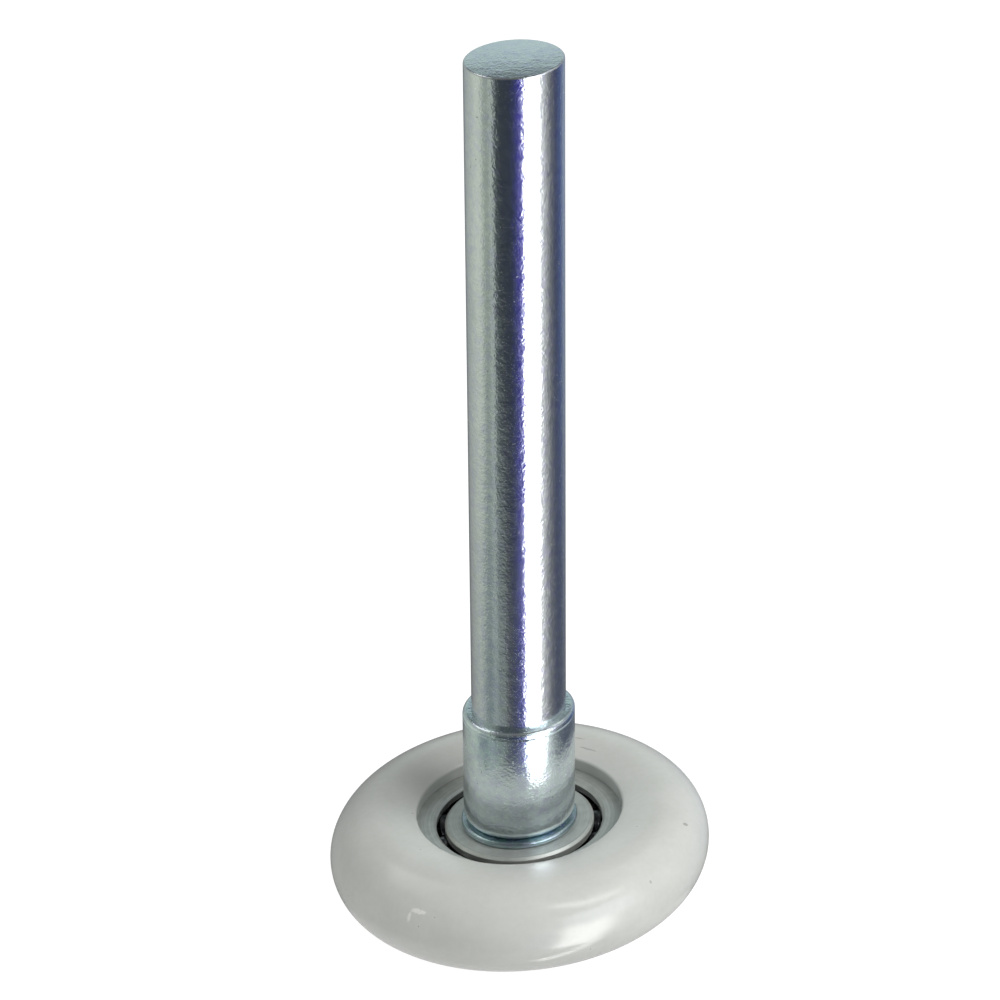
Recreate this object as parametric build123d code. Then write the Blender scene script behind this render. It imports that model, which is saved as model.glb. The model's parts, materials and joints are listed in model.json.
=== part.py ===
from build123d import *
import math
import os

# Door track roller, in millimetres. The wheel stands on its back face at z = 0, centred on the
# Z axis, and the stem rises along +Z.

# Driving dimensions
stem_dia = 11.0            # plain round stem that slides in a hinge's sleeve
stem_reach = 100.2         # from the wheel's middle plane to the stem's tip
wheel_dia = 44.8
wheel_width = 11.4
sleeve_dia = 13.1
sleeve_top = 19.0          # height of the sleeve's rim above the middle plane
spigot_dia = 9.0           # reduced end of the stem, through the sleeve and the bearing
bearing_width = 6.9
ball_dia = 4.7625          # 3/16 in
ball_count = 12
pitch_radius = 9.3         # circle that the balls' centres run on
race_gap = 1.0             # open ring between the two races at their faces

# Stack clamped on the stem's spigot, between its shoulder and its riveted end
front_washer_thickness = 0.8
front_washer_dia = 13.7
back_washer_thickness = 0.9
back_washer_dia = 12.6
washer_edge = 0.35         # rounding of the front washer's rim, which makes it a bead
stem_tip_chamfer = 0.25
rivet_head_dia = 11.2
rivet_head_height = 0.9
rivet_head_edge = 0.6
sleeve_rim_round = 0.55
sleeve_foot_round = 1.2
sleeve_seat = 0.5          # how deep the stem's shoulder sits in the sleeve's rim
shoulder_taper = 0.3       # how far the shoulder narrows over that depth, so that it starts easily

# Bearing
race_chamfer = 0.3
race_outer_dia = 26.0
ball_clearance = 0.02      # free play between a ball and the deepest point of each raceway
raceway_ratio = 1.04       # raceway radius over ball radius
first_ball_angle = 12.0
grip_groove_depth = 0.6    # groove round the outer race that keys it into the nylon
grip_groove_width = 2.0

# Nylon wheel
lip_radius = 12.1          # opening that shows the bearing
lip_round = 0.25
crest_radius = 16.4        # where the side face is highest
lip_drop = 0.7             # how far the side face falls from its crest to the opening

slip = 0.01                # gap between pieces that are pushed or moulded together

middle = wheel_width / 2
half_bearing = bearing_width / 2
ball_radius = ball_dia / 2
spigot_radius = spigot_dia / 2
inner_land_radius = pitch_radius - race_gap / 2
outer_land_radius = pitch_radius + race_gap / 2
raceway_radius = ball_radius * raceway_ratio
raceway_offset = raceway_radius - ball_radius - ball_clearance
race_outer_radius = race_outer_dia / 2
sleeve_rim = middle + sleeve_top
shoulder = sleeve_rim - sleeve_seat
sleeve_foot = middle + half_bearing + front_washer_thickness
spigot_end = middle - half_bearing - back_washer_thickness


def turned(points, radii):
    """Solid of revolution about Z from an outline of (radius, height) corners, each with its rounding."""
    outline = FilletPolyline(*points, radius=radii, close=True)
    return revolve(Plane.XZ * make_face(outline), Axis.Z)


def turned_ring(inner, outer, low, high, roundings=(0, 0, 0, 0)):
    """Ring of rectangular section; roundings run inner low, outer low, outer high, inner high."""
    corners = [(inner, low), (outer, low), (outer, high), (inner, high)]
    return turned(corners, list(roundings))


def stem():
    tip = middle + stem_reach
    radius = stem_dia / 2
    head = rivet_head_dia / 2
    body = turned(
        [
            (0, spigot_end - rivet_head_height),
            (head, spigot_end - rivet_head_height),
            (head, spigot_end),
            (spigot_radius, spigot_end),
            (spigot_radius, shoulder),
            (radius - shoulder_taper, shoulder),
            (radius, sleeve_rim),
            (radius, tip),
            (0, tip),
        ],
        [0, rivet_head_edge, 0, 0, 0, 0, 0, 0, 0],
    )
    tip_edge = body.edges().filter_by(GeomType.CIRCLE).sort_by(Axis.Z)[-1]
    return chamfer(tip_edge, stem_tip_chamfer)


def spacer_sleeve():
    """Sleeve on the spigot, bored wider at the rim to take the stem's shoulder."""
    outer = sleeve_dia / 2
    inner = spigot_radius + slip
    seat = stem_dia / 2 + slip
    return turned(
        [
            (inner, sleeve_foot),
            (outer, sleeve_foot),
            (outer, sleeve_rim),
            (seat, sleeve_rim),
            (seat, shoulder),
            (inner, shoulder),
        ],
        [0, sleeve_foot_round, sleeve_rim_round, 0, 0, 0],
    )


def front_washer():
    return turned_ring(
        spigot_radius + slip,
        front_washer_dia / 2,
        middle + half_bearing,
        sleeve_foot,
        (0, washer_edge, washer_edge, 0),
    )


def back_washer():
    return turned_ring(
        spigot_radius + slip,
        back_washer_dia / 2,
        spigot_end,
        middle - half_bearing,
    )


def raceway(centre_radius):
    """The ring-shaped space that a race's groove is cut with, slightly wider than a ball."""
    return revolve(Plane.XZ * Pos(centre_radius, middle) * Circle(raceway_radius), Axis.Z)


def inner_race_half(side):
    """Half of the inner race, split at the middle plane; side is 1 for the front and -1 for the back."""
    land = inner_land_radius
    bore = spigot_radius + slip
    face = middle + side * half_bearing
    outline = Polyline(
        (bore, middle),
        (land, middle),
        (land, face - side * race_chamfer),
        (land - race_chamfer, face),
        (bore, face),
        close=True,
    )
    return revolve(Plane.XZ * make_face(outline), Axis.Z) - raceway(pitch_radius + raceway_offset)


def outer_race():
    land = outer_land_radius
    outer = race_outer_radius
    low = middle - half_bearing
    high = middle + half_bearing
    outline = Polyline(
        (land + race_chamfer, low),
        (outer, low),
        (outer, middle - grip_groove_width / 2),
        (outer - grip_groove_depth, middle - grip_groove_width / 2),
        (outer - grip_groove_depth, middle + grip_groove_width / 2),
        (outer, middle + grip_groove_width / 2),
        (outer, high),
        (land + race_chamfer, high),
        (land, high - race_chamfer),
        (land, low + race_chamfer),
        close=True,
    )
    return revolve(Plane.XZ * make_face(outline), Axis.Z) - raceway(pitch_radius - raceway_offset)


def ball(index):
    angle = math.radians(first_ball_angle + index * 360 / ball_count)
    centre = (pitch_radius * math.cos(angle), pitch_radius * math.sin(angle), middle)
    return Pos(*centre) * Sphere(ball_radius)


def tyre():
    """Nylon wheel: rounded tread, slightly domed sides, and a lip that holds the outer race in."""
    bore = race_outer_radius + slip
    ridge = bore - grip_groove_depth
    ridge_half = grip_groove_width / 2 - slip
    pocket = half_bearing + slip
    corner = middle - lip_drop
    reach = crest_radius - lip_radius
    side_radius = (reach**2 + lip_drop**2) / (2 * lip_drop)
    half_outline = Curve() + [
        Polyline(
            (ridge, 0),
            (ridge, ridge_half),
            (bore, ridge_half),
            (bore, pocket),
            (lip_radius, pocket),
            (lip_radius, corner),
        ),
        RadiusArc((lip_radius, corner), (crest_radius, middle), side_radius),
        EllipticalCenterArc((crest_radius, 0), wheel_dia / 2 - crest_radius, middle, arc_size=90),
    ]
    section = make_face(half_outline + mirror(half_outline, Plane.XZ))
    lips = section.vertices().filter_by(lambda v: abs(v.X - lip_radius) < slip).sort_by(Axis.Y)
    section = fillet([lips[0], lips[-1]], lip_round)
    return revolve(Plane.XZ * Pos(0, middle) * section, Axis.Z)


def write(name, solid):
    solid.label = name
    export_step(solid, f"parts/{name}.step")
    print(name, round(solid.volume, 2))


os.makedirs("parts", exist_ok=True)
write("stem", stem())
write("spacer_sleeve", spacer_sleeve())
write("front_washer", front_washer())
write("back_washer", back_washer())
write("inner_race_front", inner_race_half(1))
write("inner_race_back", inner_race_half(-1))
write("outer_race", outer_race())
write("tyre", tyre())
for index in range(ball_count):
    write(f"ball_{index + 1:02d}", ball(index))
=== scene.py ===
import json
import math

import bmesh
import bpy
from mathutils import Matrix, Vector


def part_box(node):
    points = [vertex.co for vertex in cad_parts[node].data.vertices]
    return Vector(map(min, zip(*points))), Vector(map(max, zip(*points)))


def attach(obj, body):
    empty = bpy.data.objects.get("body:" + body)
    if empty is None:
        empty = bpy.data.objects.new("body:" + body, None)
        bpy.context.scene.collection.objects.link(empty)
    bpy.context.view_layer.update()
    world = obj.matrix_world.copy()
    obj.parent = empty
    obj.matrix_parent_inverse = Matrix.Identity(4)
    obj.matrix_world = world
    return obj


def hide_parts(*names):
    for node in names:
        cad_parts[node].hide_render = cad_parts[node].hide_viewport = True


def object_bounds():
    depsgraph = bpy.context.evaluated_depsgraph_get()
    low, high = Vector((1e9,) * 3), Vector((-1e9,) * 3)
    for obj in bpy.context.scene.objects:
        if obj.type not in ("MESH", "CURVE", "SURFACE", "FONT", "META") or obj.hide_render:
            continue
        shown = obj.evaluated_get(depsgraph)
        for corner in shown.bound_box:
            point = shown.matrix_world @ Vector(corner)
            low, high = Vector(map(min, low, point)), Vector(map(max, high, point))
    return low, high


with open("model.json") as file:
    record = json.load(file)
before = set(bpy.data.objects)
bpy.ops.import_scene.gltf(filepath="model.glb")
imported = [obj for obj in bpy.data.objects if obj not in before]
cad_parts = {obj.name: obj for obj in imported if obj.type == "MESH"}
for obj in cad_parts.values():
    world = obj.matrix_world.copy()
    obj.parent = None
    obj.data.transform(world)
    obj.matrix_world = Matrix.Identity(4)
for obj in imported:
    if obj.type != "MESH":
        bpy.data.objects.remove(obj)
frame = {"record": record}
cadLow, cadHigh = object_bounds()
scene = bpy.context.scene
scene.view_settings.view_transform = "Standard"
mm = 0.001
slip = 0.01 * mm  # gap between pieces that are pushed or moulded together
print("frame loaded")


cameraRig = {
    "distance": 0.42183,  # metres, level, from the stem's axis
    "height": 0.28147,  # above the floor
    "turn": math.radians(-0.263),
    "tilt": math.radians(28.537),
    "roll": math.radians(-0.543),
    "lens": 152.5,
    "clip": (0.01, 20),
    "lean": 0.0516,  # how far the frame's right side is raised, as a share of the width
}


def setCamera():
    camera = bpy.data.objects.new("camera", bpy.data.cameras.new("camera"))
    stand = bpy.data.objects.new("cameraStand", None)
    for item in (camera, stand):
        scene.collection.objects.link(item)
    camera.data.lens = cameraRig["lens"]
    camera.data.clip_start, camera.data.clip_end = cameraRig["clip"]
    place = Matrix.Translation((0, -cameraRig["distance"], cameraRig["height"]))
    turn = Matrix.Rotation(-cameraRig["turn"], 4, "Z")
    tilt = Matrix.Rotation(math.pi / 2 - cameraRig["tilt"], 4, "X")
    roll = Matrix.Rotation(cameraRig["roll"], 4, "Z")
    lean = Matrix.Identity(4)
    lean[1][0] = -cameraRig["lean"]
    camera.parent = stand
    camera.matrix_parent_inverse = place @ turn @ tilt @ roll @ lean
    scene.camera = camera


setCamera()
print("camera set")


# A node's output, which takes part in sums
class Flow:
    def __init__(self, paint, socket):
        self.paint, self.socket = paint, socket

    def __add__(self, other):
        return self.paint.sum("ADD", self, other)

    def __sub__(self, other):
        return self.paint.sum("SUBTRACT", self, other)

    def __rsub__(self, other):
        return self.paint.sum("SUBTRACT", other, self)

    def __mul__(self, other):
        return self.paint.sum("MULTIPLY", self, other)

    def __truediv__(self, other):
        return self.paint.sum("DIVIDE", self, other)

    __radd__, __rmul__ = __add__, __mul__


# A material, and the nodes added to it
class Paint:
    def __init__(self, name):
        self.material = bpy.data.materials.new(name)
        self.material.use_nodes = True
        self.tree = self.material.node_tree
        self.tree.nodes.clear()
        self.place = self.node("TexCoord", output="Object")

    def node(self, kind, settings=None, sockets=None, output=0):
        made = self.tree.nodes.new("ShaderNode" + kind)
        for key, value in (settings or {}).items():
            if key == "stops":
                self.setStops(made.color_ramp, value)
            else:
                setattr(made, key, value)
        for key, value in (sockets or {}).items():
            if isinstance(value, Flow):
                self.tree.links.new(value.socket, made.inputs[key])
            else:
                made.inputs[key].default_value = value
        return Flow(self, made.outputs[output]) if made.outputs else made

    def setStops(self, ramp, stops):
        while len(ramp.elements) > 1:
            ramp.elements.remove(ramp.elements[-1])
        for index, (position, colour) in enumerate(stops):
            if index:
                ramp.elements.new(position)
            ramp.elements[index].position = position
            ramp.elements[index].color = (*colour, 1)

    def sum(self, operation, *values):
        return self.node("Math", {"operation": operation}, dict(enumerate(values)))

    def ramp(self, value, low, high):
        return self.node("MapRange", {}, {"Value": value, "From Min": low, "From Max": high})

    def blend(self, factor, first, second):
        return self.node(
            "Mix", {"data_type": "RGBA"}, {"Factor": factor, 6: first, 7: second}, output=2
        )

    def noise(self, size, detail=2.0, rough=0.5):
        return self.node(
            "TexNoise",
            {},
            {"Vector": self.place, "Scale": 1 / size, "Detail": detail, "Roughness": rough},
        )

    def bump(self, height, depth, under=None):
        sockets = {"Height": height, "Distance": depth, "Strength": 1.0}
        if under:
            sockets["Normal"] = under
        return self.node("Bump", {}, sockets)

    def finish(self, sockets):
        surface = self.node("BsdfPrincipled", {}, sockets)
        self.node("OutputMaterial", {}, {"Surface": surface})
        return self.material


def colour(red, green, blue):
    return (red, green, blue, 1)


def zincPlate(name, look):
    paint = Paint(name)
    broad = paint.noise(look["cloudSize"], 2.0)
    patch = paint.noise(look["patchSize"], 3.0, 0.6)
    grain = paint.noise(look["grainSize"], 2.0)
    pits = paint.ramp(paint.noise(look["pitSize"], 1.0), *look["pitRange"])
    mottle = patch * look["patchShare"] + grain * look["grainShare"] + broad * look["cloudShare"]
    tone = paint.ramp(mottle, *look["toneRange"])
    plating = paint.blend(tone, colour(*look["dull"]), colour(*look["bright"]))
    film = paint.ramp(paint.noise(look["filmSize"], 3.0), *look["filmRange"]) * look["film"]
    plating = paint.blend(film, plating, colour(*look["filmTint"]))
    stained = paint.blend(pits * look["pitStain"], plating, colour(*look["pit"]))
    # Less metal towards the bottom: painted reflected light low down
    height = paint.node("SeparateXYZ", {}, {"Vector": paint.place}, output="Z")
    dulling = paint.ramp(height, look["dullingTop"], look["dullingLow"]) * look["dulling"]
    relief = paint.bump(patch, look["patchDepth"])
    relief = paint.bump(grain, look["grainDepth"], relief)
    return paint.finish(
        {
            "Base Color": stained,
            "Metallic": 1.0 - dulling,
            "Roughness": look["smooth"] + patch * look["patchRough"] + pits * look["pitRough"],
            "Normal": relief,
        }
    )


plating = {
    "bright": (0.76, 0.79, 0.79),
    "dull": (0.60, 0.64, 0.65),
    "patchShare": 0.4,
    "grainShare": 0.25,
    "cloudShare": 0.35,
    "toneRange": (0.36, 0.66),
    "pit": (0.20, 0.21, 0.22),
    "pitRange": (0.72, 0.78),
    "pitStain": 0.5,
    "pitRough": 0.2,
    "filmTint": (0.60, 0.58, 0.78),
    "filmRange": (0.45, 0.70),
    "film": 0.5,
    "cloudSize": 11 * mm,
    "patchSize": 1.1 * mm,
    "grainSize": 0.32 * mm,
    "pitSize": 0.42 * mm,
    "filmSize": 0.9 * mm,
    "patchDepth": 0.038 * mm,
    "grainDepth": 0.025 * mm,
    "smooth": 0.09,
    "patchRough": 0.12,
    # Less metal low down, painted reflected light from the wheel below: how much, and the heights
    # between which it comes in
    "dulling": 0.0,
    "dullingTop": 22 * mm,
    "dullingLow": 14 * mm,
}
# The sleeve's zinc as a lighter, teal copy of the plating, with less metal low down: painted
# reflected light from the wheel on the collar
litSleevePlating = {
    **plating,
    "bright": (0.78, 0.88, 0.87),
    "dull": (0.62, 0.72, 0.72),
    "dulling": 0.13,
    "smooth": 0.12,
    "patchRough": 0.14,
}
# The front washer's zinc as a darker, teal copy of the plating: painted shade for the groove and
# bead under the sleeve's foot
shadedBeadPlating = {
    **plating,
    "bright": (0.50, 0.62, 0.63),
    "dull": (0.34, 0.45, 0.47),
    "smooth": 0.16,
}


def turnedSteel(name, look):
    paint = Paint(name)
    flat = paint.node("VectorMath", {"operation": "MULTIPLY"}, {0: paint.place, 1: (1, 1, 0)})
    reach = paint.node("VectorMath", {"operation": "LENGTH"}, {0: flat}, output="Value")
    rings = paint.node(
        "TexNoise",
        {"noise_dimensions": "1D"},
        {"W": reach, "Scale": 1 / look["ringSize"], "Detail": 2.0},
    )
    patch = paint.noise(look["patchSize"], 3.0)
    mottle = patch * look["patchShare"] + rings * look["ringShare"]
    tone = paint.ramp(mottle, *look["toneRange"])
    steel = paint.blend(tone, colour(*look["dull"]), colour(*look["bright"]))
    return paint.finish(
        {
            "Base Color": steel,
            "Metallic": look["metal"],
            "Roughness": look["smooth"] + patch * look["patchRough"],
            "Normal": paint.bump(rings, look["ringDepth"]),
        }
    )


raceSteel = {
    "bright": (0.60, 0.62, 0.59),
    "dull": (0.44, 0.46, 0.43),
    "patchShare": 0.5,
    "ringShare": 0.5,
    "toneRange": (0.35, 0.68),
    "ringSize": 0.25 * mm,
    "patchSize": 1.2 * mm,
    "ringDepth": 0.002 * mm,
    "metal": 0.72,
    "smooth": 0.33,
    "patchRough": 0.15,
}


# Balls in very dark tones with paler blotches, so that the gap between the races shows black
def darkenedBalls(name, look):
    paint = Paint(name)
    film = paint.noise(look["filmSize"], 3.0)
    smear = paint.ramp(film, *look["filmRange"])
    return paint.finish(
        {
            "Base Color": paint.blend(smear, colour(*look["steel"]), colour(*look["paleTone"])),
            "Metallic": 1.0,
            "Roughness": look["smooth"] + smear * look["smearRough"],
            "Normal": paint.bump(film, look["filmDepth"]),
        }
    )


darkBallTones = {
    "steel": (0.03, 0.03, 0.035),
    "paleTone": (0.16, 0.165, 0.17),
    "filmSize": 1.4 * mm,
    "filmRange": (0.35, 0.65),
    "filmDepth": 0.004 * mm,
    "smooth": 0.06,
    "smearRough": 0.12,
}


# How far a place is from a mark's middle, as a share of the mark's half size
def fromMark(paint, centre, halfSize, turn):
    place = paint.node(
        "Mapping",
        {"vector_type": "TEXTURE"},
        {
            "Vector": paint.place,
            "Location": [part * mm for part in centre],
            "Rotation": (0, 0, math.radians(turn)),
            "Scale": [part * mm for part in halfSize],
        },
    )
    return paint.node("VectorMath", {"operation": "LENGTH"}, {0: place}, output="Value")


def nylonMoulding(name, look):
    paint = Paint(name)
    cloud = paint.noise(look["cloudSize"], 3.0)
    fine = paint.noise(look["fineSize"], 3.0)
    speck = paint.ramp(paint.noise(look["speckSize"], 0.0), *look["speckRange"])
    mottle = cloud * look["cloudShare"] + fine * look["fineShare"]
    tone = paint.ramp(mottle, *look["toneRange"])
    body = paint.blend(tone, colour(*look["shade"]), colour(*look["light"]))
    body = paint.blend(speck * look["speckStrength"], body, colour(*look["speck"]))
    ragged = (paint.noise(look["raggedSize"], 3.0) - 0.5) * look["ragged"]
    for centre, halfSize, turn, strength, tone in look["marks"]:
        reach = fromMark(paint, centre, halfSize, turn) + ragged
        mask = paint.ramp(reach, *look["markFade"]) * strength
        body = paint.blend(mask, body, colour(*tone))
    surface = paint.bump(cloud, look["cloudDepth"])
    surface = paint.bump(fine, look["fineDepth"], surface)
    return paint.finish(
        {
            "Base Color": body,
            "Roughness": look["smooth"] + fine * look["fineRough"],
            "IOR": look["ior"],
            "Subsurface Weight": look["depth"],
            "Subsurface Radius": look["depthTint"],
            "Subsurface Scale": look["depthScale"],
            "Normal": surface,
        }
    )


scuffWhite, rubbedGrey = (0.80, 0.80, 0.77), (0.22, 0.22, 0.20)

nylon = {
    "light": (0.47, 0.48, 0.455),
    "shade": (0.435, 0.445, 0.42),
    "cloudShare": 0.65,
    "fineShare": 0.35,
    "toneRange": (0.36, 0.64),
    "speck": (0.16, 0.16, 0.14),
    "speckRange": (0.86, 0.88),
    "speckStrength": 0.45,
    "cloudSize": 6 * mm,
    "fineSize": 0.7 * mm,
    "speckSize": 0.7 * mm,
    "raggedSize": 0.45 * mm,
    "ragged": 2.2,
    "markFade": (1.25, 0.75),  # where a mark ends, and where it is full, in shares of its half size
    "cloudDepth": 0.03 * mm,
    "fineDepth": 0.0015 * mm,
    "smooth": 0.13,
    "fineRough": 0.10,
    "ior": 1.53,
    "depth": 0.25,
    "depthTint": (1.0, 0.95, 0.8),
    "depthScale": 2.0 * mm,
    # Each mark: its middle and half size in millimetres, its turn about the axis in degrees, its
    # strength and its tone
    "marks": [
        ((-11.5, -18.1, 8.9), (1.1, 0.25, 0.25), -33, 0.4, scuffWhite),
        ((-12.7, -17.8, 8.1), (0.2, 0.4, 0.55), -35, 0.35, scuffWhite),
        ((8.3, 11.2, 11.2), (1.2, 0.12, 0.5), -33, 0.5, rubbedGrey),
        ((7.0, 13.6, 11.3), (0.9, 0.10, 0.5), -25, 0.45, rubbedGrey),
        ((19.4, -5.1, 10.2), (0.35, 0.2, 0.4), 40, 0.7, rubbedGrey),
    ],
}

zincLook = zincPlate("zincPlate", plating)
litSleeveLook = zincPlate("litSleevePlate", litSleevePlating)
shadedBeadLook = zincPlate("shadedBeadPlate", shadedBeadPlating)
raceLook = turnedSteel("turnedRace", raceSteel)
ballLook = darkenedBalls("darkenedBall", darkBallTones)
nylonLook = nylonMoulding("mouldedNylon", nylon)
print("materials made")


def extent(node):
    low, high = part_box(node)
    return {"radius": (high.x - low.x) / 2, "low": low.z, "high": high.z}


def arc(centre, radii, start, stop, count):
    steps = [math.radians(start + (stop - start) * i / count) for i in range(count + 1)]
    return [(centre[0] + radii[0] * math.cos(a), centre[1] + radii[1] * math.sin(a)) for a in steps]


weld = 0.0005 * mm  # points closer than this are one
onRim = 0.005 * mm  # how near to a rim an edge has to be to belong to it
rimSegments = 6
sharpTurn = math.radians(35)  # faces that meet at more than this keep a crisp edge


# Spins an outline of (radius, height) round the stem's axis, then rounds the rims asked for:
# each rim is its radius, its height and its rounding
def turned(name, outline, rims=(), closed=True, steps=192):
    shape = bmesh.new()
    corners = [shape.verts.new((radius, 0, height)) for radius, height in outline]
    following = corners[1:] + (corners[:1] if closed else [])
    sides = [shape.edges.new(pair) for pair in zip(corners, following)]
    bmesh.ops.spin(
        shape,
        geom=corners + sides,
        cent=(0, 0, 0),
        axis=(0, 0, 1),
        angle=2 * math.pi,
        steps=steps,
        use_merge=True,
    )
    bmesh.ops.remove_doubles(shape, verts=shape.verts, dist=weld)
    for radius, height, rounding in rims:
        ring = [edge for edge in shape.edges if onRing(edge, radius, height)]
        bmesh.ops.bevel(
            shape,
            geom=ring,
            offset=rounding,
            offset_type="OFFSET",
            segments=rimSegments,
            profile=0.5,
            affect="EDGES",
            material=-1,
        )
    bmesh.ops.recalc_face_normals(shape, faces=shape.faces)
    return finished(name, shape)


def onRing(edge, radius, height):
    return all(
        abs(math.hypot(v.co.x, v.co.y) - radius) < onRim and abs(v.co.z - height) < onRim
        for v in edge.verts
    )


def finished(name, shape):
    for face in shape.faces:
        face.smooth = True
    for edge in shape.edges:
        edge.smooth = edge.calc_face_angle(0) < sharpTurn
    mesh = bpy.data.meshes.new(name)
    shape.to_mesh(mesh)
    shape.free()
    piece = bpy.data.objects.new(name, mesh)
    scene.collection.objects.link(piece)
    return piece


def place(piece, body, node, slot, look):
    piece.data.materials.append(look)
    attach(piece, body)
    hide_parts(node)


wheelBox = extent("tyre")
raceBox = extent("outer_race")
sleeveBox = extent("spacer_sleeve")
stemBox = extent("stem")
frontBox = extent("front_washer")
backBox = extent("back_washer")
stemMount = next(m for m in frame["record"]["mounts"] if m["name"] == "stem")
middle = (wheelBox["low"] + wheelBox["high"]) / 2

stemShape = {
    "radius": stemMount["dims"]["r_mm"] * mm,
    "spigot": 4.5 * mm,
    "shoulder": sleeveBox["high"] - 0.5 * mm,
    "shoulderTaper": 0.3 * mm,
    "taperEnd": 0.05 * mm,  # how far below the sleeve's rim the stem has its full size
    "tipEdge": 0.22 * mm,
    "rivetTop": backBox["low"],
    "rivetEdge": 0.6 * mm,
    "dimpleRadius": 2.2 * mm,
    "dimpleDepth": 0.35 * mm,
}


def buildStem():
    s = stemShape
    head, low, high = stemBox["radius"], stemBox["low"], stemBox["high"]
    outline = [
        (0, low + s["dimpleDepth"]),
        (s["dimpleRadius"], low),
        (head, low),
        (head, s["rivetTop"]),
        (s["spigot"], s["rivetTop"]),
        (s["spigot"], s["shoulder"]),
        (s["radius"] - s["shoulderTaper"], s["shoulder"]),
        (s["radius"], sleeveBox["high"] - s["taperEnd"]),
        (s["radius"], sleeveBox["high"]),
        (s["radius"], high),
        (0, high),
    ]
    rims = [(head, low, s["rivetEdge"]), (s["radius"], high, s["tipEdge"])]
    stem = turned("stemPin", outline, rims, closed=False)
    place(stem, "axle", "stem", "zinc_plated_steel", zincLook)


sleeveShape = {
    "bore": stemShape["spigot"] + slip,
    "seat": stemShape["radius"] + slip,
    "rimRound": 0.55 * mm,
    "footRound": 1.2 * mm,
    "creaseDrop": 0.85 * mm,
    "creaseWidth": 0.26 * mm,
    "creaseDepth": 0.11 * mm,
}


def buildSleeve():
    s = sleeveShape
    outer, low, high = sleeveBox["radius"], sleeveBox["low"], sleeveBox["high"]
    crease = high - s["creaseDrop"]
    outline = [
        (s["bore"], low),
        (outer, low),
        (outer, crease - s["creaseWidth"] / 2),
        (outer - s["creaseDepth"], crease),
        (outer, crease + s["creaseWidth"] / 2),
        (outer, high),
        (s["seat"], high),
        (s["seat"], stemShape["shoulder"]),
        (s["bore"], stemShape["shoulder"]),
    ]
    rims = [(outer, low, s["footRound"]), (outer, high, s["rimRound"])]
    sleeve = turned("sleeveTube", outline, rims)
    place(sleeve, "axle", "spacer_sleeve", "zinc_plated_steel", litSleeveLook)


washerShape = {"rimRound": 0.35 * mm, "backRound": 0.12 * mm}


def buildWashers():
    bore = sleeveShape["bore"]
    for name, node, box, rounding, look in (
        ("frontRing", "front_washer", frontBox, washerShape["rimRound"], shadedBeadLook),
        ("backRing", "back_washer", backBox, washerShape["backRound"], zincLook),
    ):
        outer, low, high = box["radius"], box["low"], box["high"]
        outline = [(bore, low), (outer, low), (outer, high), (bore, high)]
        ring = turned(name, outline, [(outer, low, rounding), (outer, high, rounding)])
        place(ring, "axle", node, "zinc_plated_steel", look)


raceShape = {
    "chamfer": 0.3 * mm,
    "outerLand": 9.8 * mm,
    "pitch": 9.3 * mm,
    "groove": 2.4765 * mm,
    "offset": 0.0753 * mm,
    "gripDepth": 0.6 * mm,
    "gripWidth": 2.0 * mm,
    "grooveSteps": 24,
    "halfGrooveSteps": 16,
}


# Outline of the outer race's groove, from low to high
def groove(centre, land):
    s = raceShape
    sweep = math.degrees(math.acos((land - centre) / s["groove"]))
    return arc((centre, middle), (s["groove"], s["groove"]), -sweep, sweep, s["grooveSteps"])


def buildRaces():
    s = raceShape
    low, high = raceBox["low"], raceBox["high"]
    land, outer = s["outerLand"], raceBox["radius"]
    grip = outer - s["gripDepth"]
    outline = groove(s["pitch"] - s["offset"], land) + [
        (land, high - s["chamfer"]),
        (land + s["chamfer"], high),
        (outer, high),
        (outer, middle + s["gripWidth"] / 2),
        (grip, middle + s["gripWidth"] / 2),
        (grip, middle - s["gripWidth"] / 2),
        (outer, middle - s["gripWidth"] / 2),
        (outer, low),
        (land + s["chamfer"], low),
        (land, low + s["chamfer"]),
    ]
    outerRing = turned("outerRing", outline)
    place(outerRing, "wheel", "outer_race", "race_steel", raceLook)
    bore = sleeveShape["bore"]
    for name, node, side in (
        ("innerRingFront", "inner_race_front", 1),
        ("innerRingBack", "inner_race_back", -1),
    ):
        land = extent(node)["radius"]
        centre = s["pitch"] + s["offset"]
        sweep = math.degrees(math.acos((centre - land) / s["groove"]))
        radii = (s["groove"], side * s["groove"])
        curve = arc((centre, middle), radii, 180, 180 - sweep, s["halfGrooveSteps"])
        face = middle + side * (high - middle)
        outline = [(bore, middle)] + curve + [
            (land, face - side * s["chamfer"]),
            (land - s["chamfer"], face),
            (bore, face),
        ]
        place(turned(name, outline), "axle", node, "race_steel", raceLook)


def buildBalls():
    for node in frame["record"]["behaviour"]["bodies"]["ball_ring"]:
        low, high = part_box(node)
        shape = bmesh.new()
        bmesh.ops.create_uvsphere(shape, u_segments=48, v_segments=24, radius=(high.z - low.z) / 2)
        bmesh.ops.translate(shape, verts=shape.verts, vec=(low + high) / 2)
        place(finished(node.replace("_", "Steel"), shape), "ball_ring", node, "ball_steel", ballLook)


tyreShape = {
    "lip": 12.1 * mm,
    "lipRound": 0.25 * mm,
    "crest": 16.4 * mm,
    "drop": 0.7 * mm,
    "faceSteps": 12,
    "treadSteps": 48,
    "around": 256,
}


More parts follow.
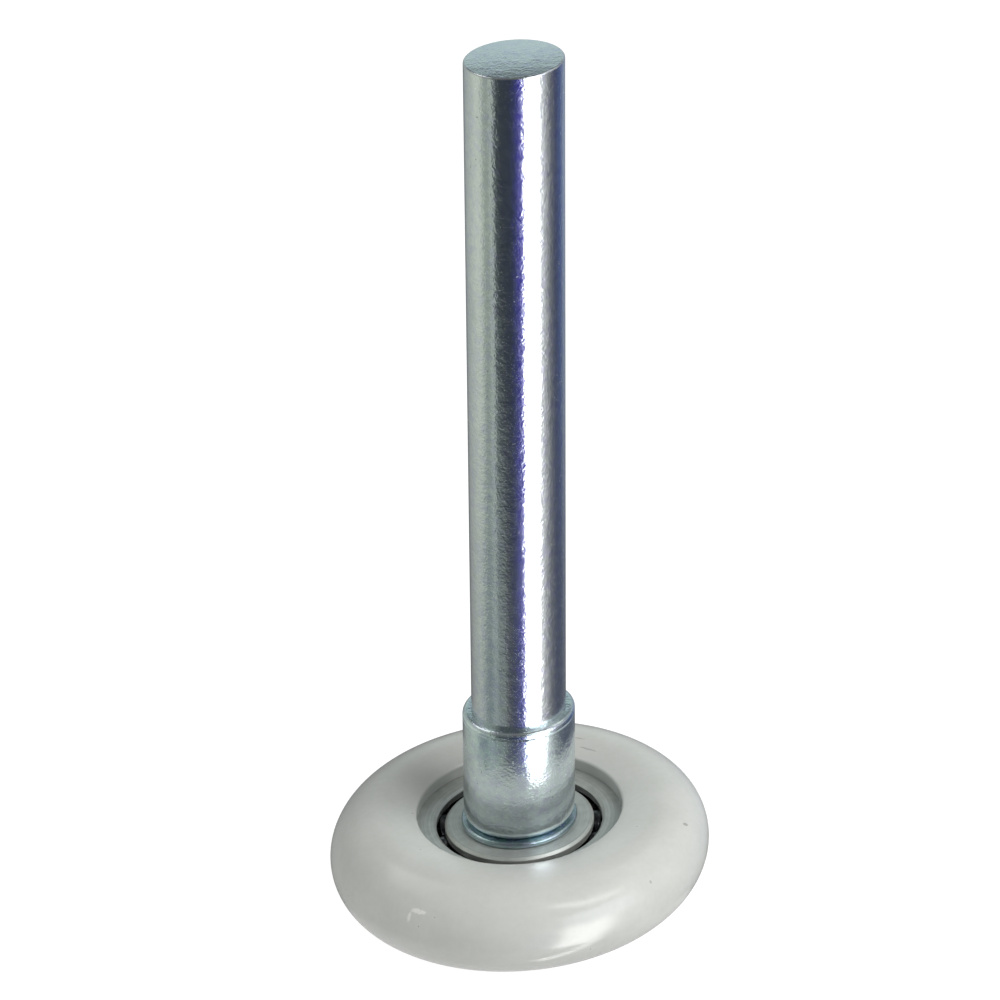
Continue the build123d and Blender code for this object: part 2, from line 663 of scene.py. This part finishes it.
def buildTyre():
    s = tyreShape
    half = wheelBox["high"] - middle
    bore = raceBox["radius"] + slip
    ridge = bore - raceShape["gripDepth"]
    ridgeHalf = raceShape["gripWidth"] / 2 - slip
    pocket = raceBox["high"] - middle + slip
    reach = s["crest"] - s["lip"]
    side = (reach**2 + s["drop"] ** 2) / (2 * s["drop"])
    span = math.degrees(math.asin(reach / side))
    face = arc((s["crest"], half - side), (side, side), 90 + span, 90, s["faceSteps"])
    width = wheelBox["radius"] - s["crest"]
    tread = arc((s["crest"], 0), (width, half), 90, 0, s["treadSteps"])[1:]
    upper = [(ridge, ridgeHalf), (bore, ridgeHalf), (bore, pocket), (s["lip"], pocket)]
    upper += face + tread
    lower = [(radius, -height) for radius, height in reversed(upper[:-1])]
    outline = [(radius, middle + height) for radius, height in upper + lower]
    corner = half - s["drop"]
    rims = [(s["lip"], middle + up * corner, s["lipRound"]) for up in (1, -1)]
    tyre = turned("nylonTyre", outline, rims, steps=s["around"])
    place(tyre, "wheel", "tyre", "nylon", nylonLook)


buildStem()
buildSleeve()
buildWashers()
buildRaces()
buildBalls()
buildTyre()
print("pieces built")

studio = {
    "tentRadius": 0.8,
    "tentLow": -0.68,
    "tentHigh": 1.4,
    # The heights between which one ring of panels fades into the next
    "fades": ((-0.45, -0.25), (0.0, 0.2), (0.49, 0.55)),
    "floorHalf": 3.0,
    "floorGlow": 0.92,
    "floorTones": (0.15, 0.17),
    "floorTooth": 2 * mm,
    "floorRough": 0.9,
    "skyStrength": 0.62,
    "keyAround": math.radians(60),
    "keyUp": math.radians(44),
    "keyFar": 0.6,
    "keySize": 0.4,
    "keyPower": 3.45,
    "hoodCentre": (0.0, 0.0, 1.4),
    "hoodRadius": 0.8,
    "hoodGlow": 0.2,
}

# Bright cards that only reflections show: two ends, width and glow
cards = {
    "ceilingStripLeft": ((0.26, -0.46, 0.99), (0.61, -0.47, 0.81), 0.16, 3.8),
    "ceilingStripRight": ((0.61, -0.47, 0.81), (0.86, -0.18, 0.69), 0.32, 3.2),
    "tableEdge": ((0.10, -0.30, -1.05), (0.72, -0.62, -0.59), 0.14, 6.0),
    "broadGlow": ((0.70, -0.66, 0.50), (0.84, -0.64, 0.00), 0.26, 2.6),
    "leftWindow": ((-0.29, 0.45, 0.73), (-0.60, 0.05, 0.71), 0.30, 1.3),
    "rightWindow": ((0.29, 0.45, 0.73), (0.60, 0.15, 0.71), 0.26, 1.0),
}

# The tent's panels as seen from the roller: degrees round from the camera's side, and their glow
middlePanels = [
    (-180, (0.10, 0.11, 0.12)),
    (-160, (0.20, 0.22, 0.23)),
    (-145, (0.40, 0.43, 0.42)),
    (-125, (0.50, 0.54, 0.50)),
    (-100, (0.66, 0.71, 0.62)),
    (-84, (0.68, 0.73, 0.64)),
    (-72, (0.38, 0.43, 0.37)),
    (-60, (0.36, 0.41, 0.36)),
    (-56, (0.56, 0.62, 0.56)),
    (-51, (0.52, 0.57, 0.52)),
    (-46, (0.11, 0.13, 0.13)),
    (-34, (0.05, 0.06, 0.07)),
    (-10, (0.04, 0.05, 0.07)),
    (1, (0.05, 0.06, 0.16)),
    (13, (0.07, 0.06, 0.45)),
    (20.5, (0.25, 0.23, 0.75)),
    (22.5, (3.0, 3.0, 3.0)),
    (26, (8.0, 8.0, 8.0)),
    (48, (8.0, 8.0, 8.0)),
    (54, (3.0, 3.0, 3.0)),
    (60, (0.95, 0.95, 0.96)),
    (72, (0.50, 0.51, 0.52)),
    (86, (0.19, 0.20, 0.22)),
    (104, (0.075, 0.085, 0.15)),
    (124, (0.10, 0.14, 0.30)),
    (150, (0.34, 0.40, 0.50)),
    (180, (0.10, 0.11, 0.12)),
]
lowPanels = [
    (-180, (0.08, 0.09, 0.10)),
    (-160, (0.16, 0.17, 0.17)),
    (-145, (0.30, 0.31, 0.30)),
    (-125, (0.40, 0.43, 0.40)),
    (-100, (0.46, 0.50, 0.46)),
    (-84, (0.26, 0.31, 0.31)),
    (-70, (0.20, 0.25, 0.26)),
    (-56, (0.34, 0.40, 0.39)),
    (-44, (0.27, 0.32, 0.30)),
    (-32, (0.30, 0.34, 0.32)),
    (-24, (0.14, 0.15, 0.16)),
    (-10, (0.09, 0.10, 0.14)),
    (1, (0.11, 0.12, 0.24)),
    (12, (0.13, 0.13, 0.42)),
    (17.5, (0.25, 0.23, 0.75)),
    (20, (3.0, 3.0, 3.0)),
    (24, (8.0, 8.0, 8.0)),
    (44, (8.0, 8.0, 8.0)),
    (50, (3.0, 3.0, 3.0)),
    (57, (0.8, 0.8, 0.8)),
    (72, (0.44, 0.45, 0.46)),
    (86, (0.20, 0.21, 0.23)),
    (104, (0.11, 0.12, 0.16)),
    (124, (0.09, 0.10, 0.13)),
    (150, (0.16, 0.17, 0.20)),
    (180, (0.08, 0.09, 0.10)),
]
highPanels = [
    (-180, (0.58, 0.72, 0.73)),
    (-150, (0.38, 0.42, 0.42)),
    (-100, (0.50, 0.54, 0.50)),
    (-60, (0.30, 0.33, 0.30)),
    (-40, (0.12, 0.13, 0.13)),
    (0, (0.12, 0.13, 0.15)),
    (20, (0.30, 0.32, 0.36)),
    (32, (3.0, 3.2, 3.5)),
    (62, (3.0, 3.2, 3.5)),
    (76, (0.6, 0.62, 0.65)),
    (110, (0.35, 0.38, 0.42)),
    (150, (0.38, 0.42, 0.46)),
    (180, (0.58, 0.72, 0.73)),
]
topPanels = [
    (-180, (0.13, 0.16, 0.16)),
    (-150, (0.16, 0.18, 0.18)),
    (-115, (0.45, 0.48, 0.46)),
    (-75, (0.42, 0.45, 0.43)),
    (-45, (0.14, 0.15, 0.15)),
    (0, (0.08, 0.09, 0.10)),
    (40, (0.14, 0.15, 0.17)),
    (70, (0.60, 0.62, 0.62)),
    (115, (0.50, 0.53, 0.53)),
    (150, (0.22, 0.25, 0.26)),
    (180, (0.13, 0.16, 0.16)),
]
brightest = 8.0  # the panels' glow is a share of this in their ramps


def buildStudio():
    s = studio
    floor = bmesh.new()
    bmesh.ops.create_grid(floor, x_segments=1, y_segments=1, size=s["floorHalf"])
    bmesh.ops.translate(floor, verts=floor.verts, vec=(0, 0, cadLow.z))
    floor = finished("paleFloor", floor)
    floor.data.materials.append(floorPaper())
    floor.visible_glossy = False
    tent = bmesh.new()
    bmesh.ops.create_cone(
        tent,
        segments=180,
        radius1=s["tentRadius"],
        radius2=s["tentRadius"],
        depth=s["tentHigh"] - s["tentLow"],
    )
    bmesh.ops.translate(tent, verts=tent.verts, vec=(0, 0, (s["tentHigh"] + s["tentLow"]) / 2))
    bmesh.ops.reverse_faces(tent, faces=tent.faces)
    reflected("lightTent", tent, tentCloth())
    hood = bmesh.new()
    bmesh.ops.create_circle(hood, cap_ends=True, segments=48, radius=s["hoodRadius"])
    bmesh.ops.translate(hood, verts=hood.verts, vec=s["hoodCentre"])
    reflected("darkHood", hood, glowing("hoodCloth", s["hoodGlow"]))
    for name, (start, end, width, glow) in cards.items():
        start, end = Vector(start), Vector(end)
        across = (end - start).cross(start + end).normalized() * width / 2
        card = bmesh.new()
        corners = (start - across, start + across, end + across, end - across)
        card.faces.new([card.verts.new(corner) for corner in corners])
        reflected(name, card, glowing(name + "Glass", glow))


# A card that shows only in the reflections
def reflected(name, shape, material):
    card = finished(name, shape)
    card.data.materials.append(material)
    for seen in ("camera", "diffuse", "transmission", "volume_scatter", "shadow"):
        setattr(card, "visible_" + seen, False)


def glowing(name, strength):
    paint = Paint(name)
    glow = paint.node("Emission", {}, {"Strength": strength})
    paint.node("OutputMaterial", {}, {"Surface": glow})
    return paint.material


def floorPaper():
    paint = Paint("floorPaper")
    tooth = paint.noise(studio["floorTooth"], 2.0)
    white = paint.blend(tooth, *(colour(tone, tone, tone) for tone in studio["floorTones"]))
    return paint.finish(
        {
            "Base Color": white,
            "Roughness": studio["floorRough"],
            "Emission Color": colour(1.0, 1.0, 1.0),
            "Emission Strength": studio["floorGlow"],
        }
    )


def tentCloth():
    paint = Paint("tentCloth")
    across, along, up = (
        paint.node("SeparateXYZ", {}, {"Vector": paint.place}, output=axis) for axis in "XYZ"
    )
    around = paint.sum("ARCTAN2", across, 0 - along) / (2 * math.pi) + 0.5
    low, *others = (
        paint.node("ValToRGB", {"stops": panelStops(panels)}, {"Fac": around})
        for panels in (lowPanels, middlePanels, highPanels, topPanels)
    )
    tone = low
    for fade, ring in zip(studio["fades"], others):
        tone = paint.blend(paint.ramp(up, *fade), tone, ring)
    glow = paint.node("Emission", {}, {"Color": tone, "Strength": brightest})
    paint.node("OutputMaterial", {}, {"Surface": glow})
    paint.material.cycles.emission_sampling = "NONE"
    return paint.material


def panelStops(panels):
    return [(0.5 + turn / 360, [part / brightest for part in tone]) for turn, tone in panels]


def setLights():
    s = studio
    sky = bpy.data.worlds.new("studioSky")
    sky.use_nodes = True
    light = sky.node_tree.nodes["Background"].inputs
    light["Color"].default_value = colour(1.0, 1.0, 1.0)
    light["Strength"].default_value = s["skyStrength"]
    scene.world = sky
    key = bpy.data.objects.new("keyLight", bpy.data.lights.new("keyLight", "AREA"))
    scene.collection.objects.link(key)
    key.data.size = s["keySize"]
    key.data.energy = s["keyPower"]
    level = math.cos(s["keyUp"])
    away = Vector(
        (
            math.sin(s["keyAround"]) * level,
            -math.cos(s["keyAround"]) * level,
            math.sin(s["keyUp"]),
        )
    )
    key.location = away * s["keyFar"]
    key.rotation_euler = away.to_track_quat("Z", "Y").to_euler()
    key.visible_glossy = False


buildStudio()
setLights()
print("studio set")
